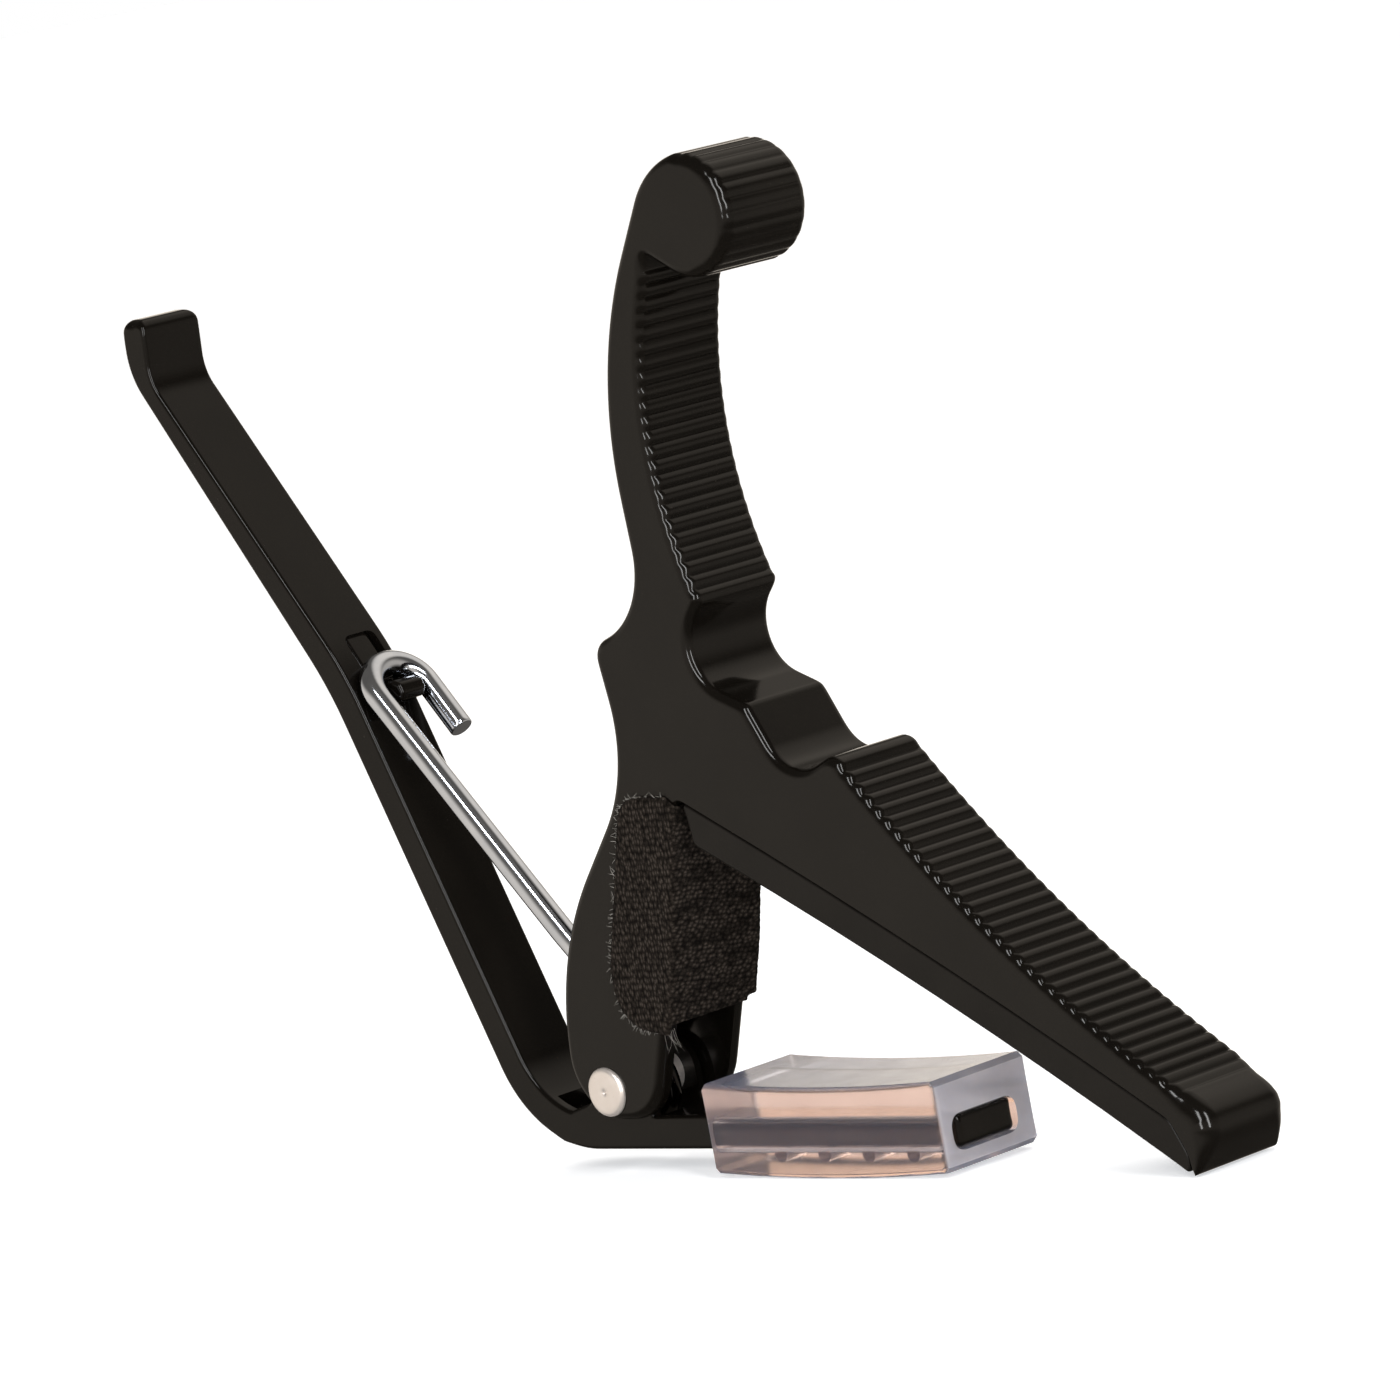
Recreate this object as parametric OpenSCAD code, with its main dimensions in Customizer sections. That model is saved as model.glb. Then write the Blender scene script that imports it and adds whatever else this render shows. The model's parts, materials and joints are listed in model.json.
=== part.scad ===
// Spring-lever instrument capo: a cast body with a padded neck arm and a ribbed
// handle, and a bent lever whose short bar presses the strings from the other side.
// Millimetres. +Z is up, +X runs along the string bar from the pivot, +Y is across.
// The origin is on the table, under the middle of the outline box.

/* [Whole part] */
// Width of the cast body across its two side faces
body_width = 12.7; // [12.5:0.1:13.0]
// Position of the pivot pin along X
pivot_x = -14.47; // [-20:0.1:-10]
// Height of the pivot pin's axis above the table
pivot_height = 9.65; // [9.65:0.05:12]

/* [Body casting] */
// Thickness of each fork cheek beside the lever
cheek_thickness = 1.9; // [1.8:0.05:1.95]
// Radius of the round scroll at the top of the handle
scroll_radius = 6.6; // [6.4:0.05:6.8]
// Spacing of the grip ribs on the handle
handle_rib_pitch = 1.59; // [1.4:0.01:2]
// Spacing of the grip ribs on the neck arm
arm_rib_pitch = 1.67; // [1.5:0.01:2]
// Height of every grip rib above its valley
rib_height = 0.35; // [0.2:0.05:0.5]
// Depth of the shallow flutes round the scroll
flute_depth = 0.14; // [0.05:0.01:0.2]

/* [Lever] */
// Thickness of the lever's bar
lever_thickness = 3.8; // [3.6:0.1:4.0]
// Width of the lever across the jaws
lever_width = 8.6; // [8.4:0.1:8.6]
// Distance from the pivot to the free end of the string bar
bar_reach = 49.8; // [48:0.1:50]
// Radius of the pivot pin's shank
pin_radius = 2.4; // [2.2:0.05:2.5]
// Radial gap between the pin and the lever's ears
pin_gap = 0.05; // [0.02:0.01:0.1]

/* [Sleeve] */
// Width of the silicone sleeve over the string bar
sleeve_width = 14.2; // [14.2:0.1:15]
// Height of the silicone sleeve
sleeve_height = 10.5; // [10.2:0.1:11]
// Height from the bar's underside down to the sleeve's underside
sleeve_floor = 2.6; // [2.4:0.05:2.6]

/* [Spring] */
// Diameter of the spring wire
wire_diameter = 2.8; // [2.6:0.1:2.8]
// Radius of the coil's centre line round the pin
coil_radius = 4.0; // [3.9:0.05:4.1]

/* [Pad and felt] */
// Thickness of the felt wrapped round the leg
felt_thickness = 0.7; // [0.5:0.1:0.7]

/* [Hidden] */

half = body_width / 2;
channel = half - cheek_thickness;
bar_bottom = sleeve_floor - pivot_height;
bar_top = bar_bottom + lever_thickness;
wire_radius = wire_diameter / 2;

black_paint = [0.09, 0.085, 0.08];
black_rubber = [0.13, 0.12, 0.115];
black_felt = [0.16, 0.15, 0.14];
bright_steel = [0.8, 0.8, 0.82];
milky_silicone = [0.86, 0.88, 0.9];

// Points on an arc; angles in degrees, finer on larger radii.
function arc(centre, r, from, to) =
  let (steps = max(2, ceil(abs(to - from) / (2 * acos(1 - 0.015 / r)))))
  [for (i = [0 : steps])
    let (angle = from + (to - from) * i / steps)
    centre + r * [cos(angle), sin(angle)]];

// The short way round from one angle to another.
function short_turn(from, to) = (to - from + 540) % 360 - 180;

// The arc that rounds corner b between its neighbours a and c.
function corner(a, b, c, r) =
  let (
    u = (a - b) / norm(a - b),
    v = (c - b) / norm(c - b),
    half_angle = acos(u * v) / 2,
    centre = b + (u + v) / norm(u + v) * r / sin(half_angle),
    p = b + u * r / tan(half_angle) - centre,
    q = b + v * r / tan(half_angle) - centre,
    from = atan2(p[1], p[0])
  )
  arc(centre, r, from, from + short_turn(from, atan2(q[1], q[0])));

function xz(p) = [p[0], p[1]];

// A closed outline from corners given as [x, z, corner radius].
function rounded(points) =
  let (n = len(points))
  [for (i = [0 : n - 1])
    let (p = points[i])
    each (p[2] == 0 ? [xz(p)] : corner(xz(points[(i + n - 1) % n]), xz(p), xz(points[(i + 1) % n]), p[2]))];

// The same for an open path, which keeps its two ends as they are.
function rounded_path(points) =
  let (last = len(points) - 1)
  [for (i = [0 : last])
    let (p = points[i])
    each (i == 0 || i == last || p[2] == 0
      ? [xz(p)]
      : corner(xz(points[i - 1]), xz(p), xz(points[i + 1]), p[2]))];

function without_last(list) = [for (i = [0 : len(list) - 2]) list[i]];

// A row of round-topped ribs along an arc, all of one height. Side is -1 when the
// ribs stand towards the arc's centre.
function ribbed_arc(centre, r, from, to, pitch, height, side) =
  let (
    ribs = round(abs(to - from) * PI / 180 * r / pitch),
    steps = ribs * 6
  )
  [for (i = [0 : steps])
    let (
      t = from + (to - from) * i / steps,
      lift = height * (abs(sin(180 * ribs * i / steps)) - 1)
    )
    centre + (r + side * lift) * [cos(t), sin(t)]];

// Cuts an XZ outline out of a plate that lies between two Y values.
module plate(outline, y0, y1) {
  translate([0, y1, 0])
    rotate([90, 0, 0])
      linear_extrude(height = y1 - y0)
        polygon(outline);
}

// A round bar or hole along Y.
module round_y(x, z, r, y0, y1) {
  translate([x, y1, z])
    rotate([90, 0, 0])
      cylinder(h = y1 - y0, r = r, $fn = 64);
}

// Every piece is drawn with the pivot at zero, then moved onto the table.
module from_pivot() {
  translate([pivot_x, 0, pivot_height])
    children();
}

scroll_centre = [36.84, 93.86];
scroll_back_centre = [37.84, 90.65];
scroll_back_start = [29.9, 96.5];
flute_pitch = 1.65;
handle_arc_centre = [70.82, 69.43];
handle_arc_radius = 45.4;
arm_arc_centre = [184.07, 150.55];
arm_arc_radius = 180.9;

// Corner points shared by the casting, the pad and the felt.
pad_line_left = [19.3, 32.15];
pad_line_middle = [51.9, 15.5];
pad_line_right = [83.1, -3.65];
arm_heel = [84.9, -7.2];
arm_toe = [85.7, -9.55];
arm_toe_back = arm_toe - [0.6, 0];
leg_top = [18.4, 30.2];
leg_knee = [14.0, 14.6];
leg_foot = [6.85, -3.3];

function body_outline() = concat(
  rounded_path([
    [arm_toe_back[0], arm_toe_back[1], 0],
    [arm_heel[0], arm_heel[1], 2],
    [pad_line_right[0], pad_line_right[1], 1.5],
    [pad_line_middle[0], pad_line_middle[1], 850],
    [pad_line_left[0], pad_line_left[1], 0.8],
    [leg_top[0], leg_top[1], 0],
    [leg_knee[0], leg_knee[1], 40],
    [leg_foot[0], leg_foot[1], 6],
    [-6.3, -3.3, 7],
    [-4.7, 15.7, 34],
    [12.2, 35.15, 18],
    [10.46, 49.29, 2.2],
    [19.47, 51.87, 9.4],
    [18.54, 78.8, 45],
    [scroll_back_start[0], scroll_back_start[1], 0]
  ]),
  arc(scroll_back_centre, norm(scroll_back_centre - scroll_back_start), 140, 97),
  ribbed_arc(scroll_centre, scroll_radius, 84, -76, flute_pitch, flute_depth, 1),
  arc(scroll_centre, scroll_radius, -80, -124),
  [[29.87, 90.33]],
  ribbed_arc(handle_arc_centre, handle_arc_radius, 155.2, 201.2, handle_rib_pitch, rib_height, -1),
  arc([30.9, 48.1], 5.25, 130, 247),
  corner([28.85, 43.27], [32.39, 41.77], [34.77, 37.2], 0.9),
  arc([39.2, 39.5], 5, 207.5, 295),
  corner([41.3, 34.97], [44.01, 36.07], [45.9, 33.8], 2),
  ribbed_arc(arm_arc_centre, arm_arc_radius, 220, 237.2, arm_rib_pitch, rib_height, -1),
  without_last(rounded_path([
    [86.5, -1.6, 0],
    [89.4, -4.1, 2.4],
    [arm_toe[0], arm_toe[1], 1],
    [arm_toe_back[0], arm_toe_back[1], 0]
  ]))
);

// The hollow of the leg: open below and towards the lever, closed by a web
// along the leg's inner face.
channel_outline = [
  [-12, -8], [10.5, -8], [13.2, 3.6], [12.2, 7.2], [9.6, 7.9], [11.6, 14.5],
  [14.3, 25], [13.5, 28.5], [9, 29.5], [3, 31.5], [-12, 31.5]
];

module body_casting() {
  color(black_paint)
    from_pivot()
      difference() {
        plate(body_outline(), -half, half);
        plate(channel_outline, -channel, channel);
        round_y(0, 0, pin_radius, -half - 1, half + 1);
      }
}

pad_outline = rounded([
  [20.1, 31.7, 0.4],
  [20.7, 26.85, 1.2],
  [53.3, 10.4, 700],
  [84.8, -9.4, 0.5],
  [arm_heel[0], arm_heel[1], 2],
  [pad_line_right[0], pad_line_right[1], 1.5],
  [pad_line_middle[0], pad_line_middle[1], 850]
]);

module neck_pad() {
  color(black_rubber)
    from_pivot()
      plate(pad_outline, -half, half);
}

// The felt's side patch, which runs past the leg's inner edge to the wrap.
felt_patch = rounded([
  [10.8, 32.7, 3.6],
  [17.6, 32.6, 1.2],
  [19.1, 31.4, 0.5],
  [19.1, 29.9, 0],
  [14.75, 14.4, 30],
  [11.8, 6.1, 0.6],
  [4.4, 7.4, 5],
  [4.4, 13.9, 6]
]);

// The felt stops short of the neck pad's upper end.
felt_end = [[19.2, 34], [30, 34], [30, 20], [20.1, 26]];
felt_face = half + felt_thickness;

module leg_felt() {
  color(black_felt)
    from_pivot()
      difference() {
        plate(felt_patch, -felt_face, felt_face);
        plate(body_outline(), -half, half);
        plate(channel_outline, -half, half);
        plate(felt_end, -felt_face - 1, felt_face + 1);
      }
}

head_radius = 2.75;
head_height = 0.6;
rim = 0.3;
dimple_radius = 0.55;
dimple_depth = 0.35;

// The pin is riveted over: a low chamfered head on each cheek with a dimple.
module pin_head(side) {
  translate([0, side * half, 0])
    rotate([-side * 90, 0, 0])
      difference() {
        union() {
          cylinder(h = head_height - rim, r = head_radius, $fn = 64);
          translate([0, 0, head_height - rim])
            cylinder(h = rim, r1 = head_radius, r2 = head_radius - rim, $fn = 64);
        }
        translate([0, 0, head_height - dimple_depth])
          cylinder(h = 2 * dimple_depth, r = dimple_radius, $fn = 32);
      }
}

module pivot_pin() {
  color(bright_steel)
    from_pivot() {
      round_y(0, 0, pin_radius, -half, half);
      pin_head(-1);
      pin_head(1);
    }
}

// The ears are the rails left beside a window that makes room for the coil.
ear_radius = 4.2;
ear_gap = 3.1;
coil_window = 10.6;

// The bent bar from the handle's tip to the end of the string bar. The inner
// side follows the outer side at one thickness.
tip_radius = 1.4;
bar_end_radius = 0.8;
function lever_side(shift) = [
  [-59.42 + shift * 0.998, 89.97 - shift * 0.07, tip_radius],
  [-59.86 + shift * 0.95, 83.65 - shift * 0.28, 9 - shift * 0.9],
  [-36.06 + shift * 0.893, 46.23 + shift * 0.448, 45 - shift],
  [-15.7 + shift * 0.6914, bar_bottom + shift, 14.5 - shift],
  [bar_reach, bar_bottom + shift, bar_end_radius]
];

function reversed(list) = [for (i = [len(list) - 1 : -1 : 0]) list[i]];

function lever_outline() = rounded(concat(lever_side(0), reversed(lever_side(lever_thickness))));

// The spring's peg is a tongue pressed out of a window in the handle.
tongue_root = [-34.7, 51.73];
tongue_slope = 57.5;
tongue_window_length = 8.8;
tongue_window_y0 = -1.4;
tongue_window_y1 = 3.1;
tongue_clearance = 0.45;

module along_handle() {
  translate([tongue_root[0], 0, tongue_root[1]])
    rotate([0, tongue_slope, 0])
      children();
}

module handle_window() {
  along_handle()
    translate([0, tongue_window_y0, -lever_thickness - 1.5])
      cube([tongue_window_length, tongue_window_y1 - tongue_window_y0, lever_thickness + 3]);
}

module tongue() {
  along_handle()
    plate(
      rounded([
        [-0.6, -3.1, 0], [-0.6, -0.9, 0], [6.0, -0.8, 1.2], [7.6, 2.3, 0.8],
        [10.3, 1.9, 0.8], [10.0, 0.2, 0.5], [8.7, 0.2, 0.8], [6.9, -2.9, 2]
      ]),
      tongue_window_y0 + tongue_clearance, tongue_window_y1 - tongue_clearance
    );
}

module ear(side) {
  inner = side > 0 ? ear_gap : -lever_width / 2;
  outer = side > 0 ? lever_width / 2 : -ear_gap;
  round_y(0, 0, ear_radius, inner, outer);
  plate([
    [-11, bar_bottom + 1], [ear_radius, bar_bottom + 1], [ear_radius, 0], [-ear_radius, 0],
    [-6, -1.9], [-11, bar_top]
  ], inner, outer);
}

module lever() {
  color(black_paint)
    from_pivot()
      difference() {
        union() {
          difference() {
            plate(lever_outline(), -lever_width / 2, lever_width / 2);
            translate([-coil_window / 2, -ear_gap, bar_bottom - 1])
              cube([coil_window, 2 * ear_gap, lever_thickness + 2]);
            handle_window();
          }
          ear(-1);
          ear(1);
          tongue();
        }
        round_y(0, 0, pin_radius + pin_gap, -half, half);
      }
}

sleeve_x0 = 15.3;
sleeve_x1 = 50.9;
slot_y0 = -5.4;
slot_y1 = 4.9;

sleeve_outline = rounded([
  [sleeve_x0, bar_bottom - sleeve_floor, 0.5],
  [sleeve_x0, bar_bottom - sleeve_floor + sleeve_height, 1],
  [sleeve_x1, bar_bottom - sleeve_floor + sleeve_height, 0.4],
  [sleeve_x1, bar_bottom - sleeve_floor, 0.4]
]);

module string_sleeve() {
  color(milky_silicone)
    from_pivot()
      difference() {
        plate(sleeve_outline, -sleeve_width / 2, sleeve_width / 2);
        translate([sleeve_x0 - 1, slot_y0, bar_bottom])
          cube([sleeve_x1 - sleeve_x0 + 2, slot_y1 - slot_y0, lever_thickness]);
      }
}

// The spring's centre line: short leg, part of a turn round the pin, long leg,
// then a hook round the lever's tongue.
short_leg_angle = 140;
long_leg_angle = 32.3;
short_leg_length = 17.8;
leg_y = 1.45;
hook_y = -3.1;
hook_radius = 3.8;
hook_centre = [-29.05, 44.8];
hook_slope = 127;
exit_point = [-4.9, 15.35];
exit_y = -2.55;

function polar(r, a) = r * [cos(a), sin(a)];
function in_3d(p, y) = [p[0], y, p[1]];

coil_turn = 360 + long_leg_angle - short_leg_angle;
coil_steps = 28;
coil_points = [for (i = [0 : coil_steps])
  let (done = i / coil_steps)
  in_3d(polar(coil_radius, short_leg_angle + coil_turn * done), leg_y - 2 * leg_y * done)];

hook_points = [for (a = [0 : 15 : 180])
  in_3d(hook_centre + polar(hook_radius * sin(a), hook_slope), hook_y + hook_radius * (1 - cos(a)))];

wire_path = concat(
  [in_3d(polar(coil_radius, short_leg_angle) + polar(short_leg_length, short_leg_angle - 90), leg_y)],
  coil_points,
  [in_3d(polar(coil_radius, long_leg_angle) + polar(5, long_leg_angle + 90.5), -leg_y - 0.15)],
  [in_3d(exit_point - polar(3, 127), exit_y + 0.25)],
  [in_3d(exit_point + polar(3, 130.5), exit_y - 0.05)],
  hook_points,
  [in_3d(hook_centre + polar(7.0, hook_slope - 180 + 1), hook_y + 2 * hook_radius)]
);

wire_sides = 16;

// Direction of travel at each point of the wire.
function heading(i) =
  let (
    a = wire_path[max(0, i - 1)],
    b = wire_path[min(len(wire_path) - 1, i + 1)]
  )
  (b - a) / norm(b - a);

// Carries a square-on direction along the wire without twisting it.
function carried(side, along) = let (s = side - (side * along) * along) s / norm(s);
function frames(i, side) =
  i == len(wire_path) ? [] :
  let (s = carried(side, heading(i)))
  concat([s], frames(i + 1, s));

wire_frames = frames(0, [0, 1, 0]);

module torsion_spring() {
  n = len(wire_path);
  rings = [for (i = [0 : n - 1])
    for (k = [0 : wire_sides - 1])
      let (a = 360 * k / wire_sides)
      wire_path[i] + wire_radius * (wire_frames[i] * cos(a) + cross(heading(i), wire_frames[i]) * sin(a))];
  walls = [for (i = [0 : n - 2])
    for (k = [0 : wire_sides - 1])
      let (j = (k + 1) % wire_sides)
      [i * wire_sides + k, (i + 1) * wire_sides + k, (i + 1) * wire_sides + j, i * wire_sides + j]];
  first = [for (k = [0 : wire_sides - 1]) k];
  last = [for (k = [wire_sides - 1 : -1 : 0]) (n - 1) * wire_sides + k];
  color(bright_steel)
    from_pivot()
      polyhedron(points = rings, faces = concat([first], walls, [last]), convexity = 6);
}

body_casting();
neck_pad();
leg_felt();
pivot_pin();
lever();
string_sleeve();
torsion_spring();
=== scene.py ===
import json
import math
import random

import bmesh
import bpy
from mathutils import Matrix, Vector, noise


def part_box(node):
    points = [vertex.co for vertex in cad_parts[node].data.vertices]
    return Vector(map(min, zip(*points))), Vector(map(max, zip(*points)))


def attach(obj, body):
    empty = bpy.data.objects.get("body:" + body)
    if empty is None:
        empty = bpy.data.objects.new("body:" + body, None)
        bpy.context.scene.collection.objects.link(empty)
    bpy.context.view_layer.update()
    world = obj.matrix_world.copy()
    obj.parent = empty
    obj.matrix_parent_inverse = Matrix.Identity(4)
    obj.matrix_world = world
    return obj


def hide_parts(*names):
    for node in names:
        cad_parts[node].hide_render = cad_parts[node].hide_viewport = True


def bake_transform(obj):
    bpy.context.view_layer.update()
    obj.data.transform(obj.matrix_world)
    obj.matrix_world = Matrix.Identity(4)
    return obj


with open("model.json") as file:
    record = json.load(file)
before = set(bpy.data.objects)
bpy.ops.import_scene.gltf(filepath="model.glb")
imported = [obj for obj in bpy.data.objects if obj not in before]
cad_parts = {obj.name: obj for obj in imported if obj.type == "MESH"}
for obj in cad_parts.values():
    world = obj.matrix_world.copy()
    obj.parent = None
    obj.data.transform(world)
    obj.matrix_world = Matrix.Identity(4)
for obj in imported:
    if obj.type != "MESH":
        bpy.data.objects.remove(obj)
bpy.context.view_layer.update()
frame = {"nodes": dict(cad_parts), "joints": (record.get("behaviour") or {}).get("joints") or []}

# Lengths are in metres. Millimetres are written as a number times MM, except where a
# section says that its numbers are millimetres.
MM = 0.001
PIVOT = Vector(frame["joints"][0]["pos_m"])
HALF_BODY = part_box("body_casting")[1].y
HALF_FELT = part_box("leg_felt")[1].y
LEVER_LOW, LEVER_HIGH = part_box("lever")
SLEEVE_LOW, SLEEVE_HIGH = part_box("string_sleeve")
BAR_BOTTOM = LEVER_LOW.z
BAR_THICKNESS = 3.8 * MM
BAR_TOP = BAR_BOTTOM + BAR_THICKNESS


def at_pivot(x, z, y=0.0):
    """A point given in millimetres from the pivot pin's axis, in the frame's metres."""
    return Vector((PIVOT.x + x * MM, y * MM, PIVOT.z + z * MM))


def flat(points):
    """The points as seen from the side, (x, z)."""
    return [Vector((p.x, p.z)) for p in points]


# ---------------------------------------------------------------- mesh tools

CREASE = math.radians(32)
ROUND_CREASE = math.radians(50)
CAD_WELD = 0.002 * MM
ON_SIDE = 0.005 * MM
NO_LENGTH = 1e-9
NO_BEND = 1e-4
STRAIGHT_RUN = 3 * MM
BULGE_SHARE = 0.85
CORNER_SHARE = 0.45
RIM_SLOPE = 0.6
SLOPE_PASSES = 2
SMOOTHING_PASSES = 6
SOFT_REACH = 2.5
RIB_FADE = 1.5
FLAT_WEIGHT = 80


def new_object(name, mesh):
    obj = bpy.data.objects.new(name, mesh)
    bpy.context.scene.collection.objects.link(obj)
    return obj


def mesh_from(name, verts, faces):
    mesh = bpy.data.meshes.new(name)
    mesh.from_pydata([tuple(v) for v in verts], [], faces)
    mesh.validate()
    return mesh


def face_outwards(mesh, merge=0.0):
    """Turns every face outwards, after merging points closer than the given distance."""
    bm = bmesh.new()
    bm.from_mesh(mesh)
    if merge:
        bmesh.ops.remove_doubles(bm, verts=bm.verts, dist=merge)
    bmesh.ops.recalc_face_normals(bm, faces=bm.faces)
    bm.to_mesh(mesh)
    bm.free()
    return mesh


def side_outline(node, y):
    """The longest closed outline of a CAD node's flat side at that Y, as (x, z) points."""
    bm = bmesh.new()
    bm.from_mesh(frame["nodes"][node].data)
    bmesh.ops.remove_doubles(bm, verts=bm.verts, dist=CAD_WELD)
    used = {}
    for face in bm.faces:
        if all(abs(v.co.y - y) < ON_SIDE for v in face.verts):
            for edge in face.edges:
                used[edge] = used.get(edge, 0) + 1
    links = {}
    for edge, count in used.items():
        if count == 1:
            a, b = edge.verts
            links.setdefault(a, []).append(b)
            links.setdefault(b, []).append(a)
    loops = []
    left = set(links)
    while left:
        start = min(left, key=lambda v: (v.co.x, v.co.z))
        loop, here, before = [start], links[start][0], start
        while here is not start:
            loop.append(here)
            ahead = [v for v in links[here] if v is not before]
            before, here = here, ahead[0]
        left -= set(loop)
        loops.append([Vector((v.co.x, v.co.z)) for v in loop])
    bm.free()
    loop = max(loops, key=outline_length)
    return loop if area(loop) > 0 else loop[::-1]


def outline_length(loop):
    return sum((loop[i] - loop[i - 1]).length for i in range(len(loop)))


def area(loop):
    """Positive for an outline that runs anticlockwise."""
    pairs = ((loop[i - 1], loop[i]) for i in range(len(loop)))
    return sum(a.x * b.y - b.x * a.y for a, b in pairs) / 2


def turn(a, b, c):
    """How far an outline turns at b, in radians; positive is a bulge outwards."""
    u, v = (b - a).normalized(), (c - b).normalized()
    return math.atan2(u.x * v.y - u.y * v.x, u.dot(v))


def curve(a, b, leave, arrive, parts):
    """Points from a towards b, without b, on a curve with the given slopes at its ends."""
    out = []
    for k in range(parts):
        t = k / parts
        h = (2 * t**3 - 3 * t**2 + 1, t**3 - 2 * t**2 + t, 3 * t**2 - 2 * t**3, t**3 - t**2)
        out.append(a * h[0] + leave * h[1] + b * h[2] + arrive * h[3])
    return out


def refined(loop, step):
    """Adds points along an outline so that its bends are smooth and its creases stay."""
    n = len(loop)
    turns = [turn(loop[i - 1], loop[i], loop[(i + 1) % n]) for i in range(n)]
    tangents = [(loop[(i + 1) % n] - loop[i - 1]).normalized() for i in range(n)]
    out = []
    for i in range(n):
        j = (i + 1) % n
        span = loop[j] - loop[i]
        if span.length < NO_LENGTH:
            continue
        straight = span.length > STRAIGHT_RUN
        leave, arrive = (
            span.normalized() if straight or abs(turns[k]) > CREASE else tangents[k]
            for k in (i, j)
        )
        parts = max(1, math.ceil(span.length / step))
        out += curve(loop[i], loop[j], leave * span.length, arrive * span.length, parts)
    return out


def rounding(loop, radius_at):
    """The edge rounding at each point. It stays smaller than the outline's own tight
    bulges, and changes no faster along the outline than RIM_SLOPE."""
    n = len(loop)
    lengths = [(loop[i] - loop[i - 1]).length for i in range(n)]
    radii = []
    for i in range(n):
        radius = radius_at(loop[i])
        bend = turn(loop[i - 1], loop[i], loop[(i + 1) % n])
        if bend > NO_BEND:
            run = (lengths[i] + lengths[(i + 1) % n]) / 2
            radius = min(radius, BULGE_SHARE * (run / bend))
        radii.append(radius)
    for _ in range(SLOPE_PASSES):
        for i in range(n):
            radii[i] = min(radii[i], radii[i - 1] + RIM_SLOPE * lengths[i])
        for i in range(n - 1, -1, -1):
            radii[i - 1] = min(radii[i - 1], radii[i] + RIM_SLOPE * lengths[i])
    for _ in range(SMOOTHING_PASSES):
        radii = [(radii[i - 1] + radii[i] + radii[(i + 1) % n]) / 3 for i in range(n)]
    return radii


def softened(loop, spread):
    """The outline with its ribs smoothed away, point for point."""
    n = len(loop)
    lengths = [(loop[(i + 1) % n] - loop[i]).length for i in range(n)]
    own = [(lengths[i] + lengths[i - 1]) / 2 for i in range(n)]
    out = []
    for i in range(n):
        total, place = own[i], loop[i] * own[i]
        for way in (1, -1):
            j, gone = i, 0.0
            while True:
                gone += lengths[j if way > 0 else j - 1]
                j = (j + way) % n
                if gone > SOFT_REACH * spread:
                    break
                weight = own[j] * math.exp(-((gone / spread) ** 2) / 2)
                total += weight
                place = place + loop[j] * weight
        out.append(place / total)
    return out


def rounded_plate(name, loop, y0, y1, radius_at, step=0.4 * MM, segments=6, spread=0.0):
    """A plate between two Y values with the given (x, z) outline and rounded rims.
    Ribs narrower than the spread fade out over the rim."""
    loop = refined(loop, step)
    n = len(loop)
    base = softened(loop, spread) if spread else loop
    radii = rounding(base, radius_at)
    inward = []
    for i in range(n):
        along_rim = (base[(i + 1) % n] - base[i - 1]).normalized()
        inward.append(Vector((-along_rim.y, along_rim.x)))
    quarter = [math.pi / 2 * k / segments for k in range(segments + 1)]
    rings = [(1 - math.sin(angle), 1 - math.cos(angle)) for angle in quarter]
    profile = [(y0, 1, ring) for ring in rings] + [(y1, -1, ring) for ring in rings[::-1]]
    verts, faces = [], []
    for y, way, (across, down) in profile:
        relief = down**RIB_FADE
        for i in range(n):
            p = base[i].lerp(loop[i], relief) + inward[i] * radii[i] * across
            verts.append((p.x, y + way * radii[i] * down, p.y))
    rows = len(profile)
    for r in range(rows - 1):
        for i in range(n):
            j = (i + 1) % n
            faces.append((r * n + i, r * n + j, (r + 1) * n + j, (r + 1) * n + i))
    faces.append(tuple(range(n))[::-1])
    faces.append(tuple((rows - 1) * n + i for i in range(n)))
    return new_object(name, face_outwards(mesh_from(name, verts, faces)))


def rounded_polygon(points, radius, steps=6):
    """Rounds every corner of a closed polygon by one radius."""
    out = []
    n = len(points)
    for i in range(n):
        a, b, c = points[i - 1], points[i], points[(i + 1) % n]
        u, v = (a - b).normalized(), (c - b).normalized()
        angle = math.acos(max(-1, min(1, u.dot(v)))) / 2
        room = CORNER_SHARE * (a - b).length, CORNER_SHARE * (c - b).length
        run = min(radius / math.tan(angle), *room)
        p, q = b + u * run, b + v * run
        for k in range(steps + 1):
            t = k / steps
            out.append(p * (1 - t) ** 2 + b * 2 * t * (1 - t) + q * t**2)
    return out if area(out) > 0 else out[::-1]


def prism(name, near, far):
    """A plain solid between two rings of as many points, used only as a cutting shape."""
    n = len(near)
    faces = [(i, (i + 1) % n, n + (i + 1) % n, n + i) for i in range(n)]
    faces += [tuple(range(n))[::-1], tuple(range(n, 2 * n))]
    return new_object(name, face_outwards(mesh_from(name, near + far, faces)))


def plate(name, loop, y0, y1):
    """A cutting shape between two Y values with the given (x, z) outline."""
    return prism(name, *([(p.x, y, p.y) for p in loop] for y in (y0, y1)))


def settle(obj):
    """Applies an object's modifiers to its mesh."""
    bpy.context.view_layer.update()
    seen = obj.evaluated_get(bpy.context.evaluated_depsgraph_get())
    made = bpy.data.meshes.new_from_object(seen)
    obj.modifiers.clear()
    obj.data = made


def combine(obj, other, operation):
    """Cuts or joins two solids; the second one is used up."""
    step = obj.modifiers.new("combine", "BOOLEAN")
    step.operation = operation
    step.solver = "EXACT"
    step.object = other
    settle(obj)
    bpy.data.objects.remove(other)


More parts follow.
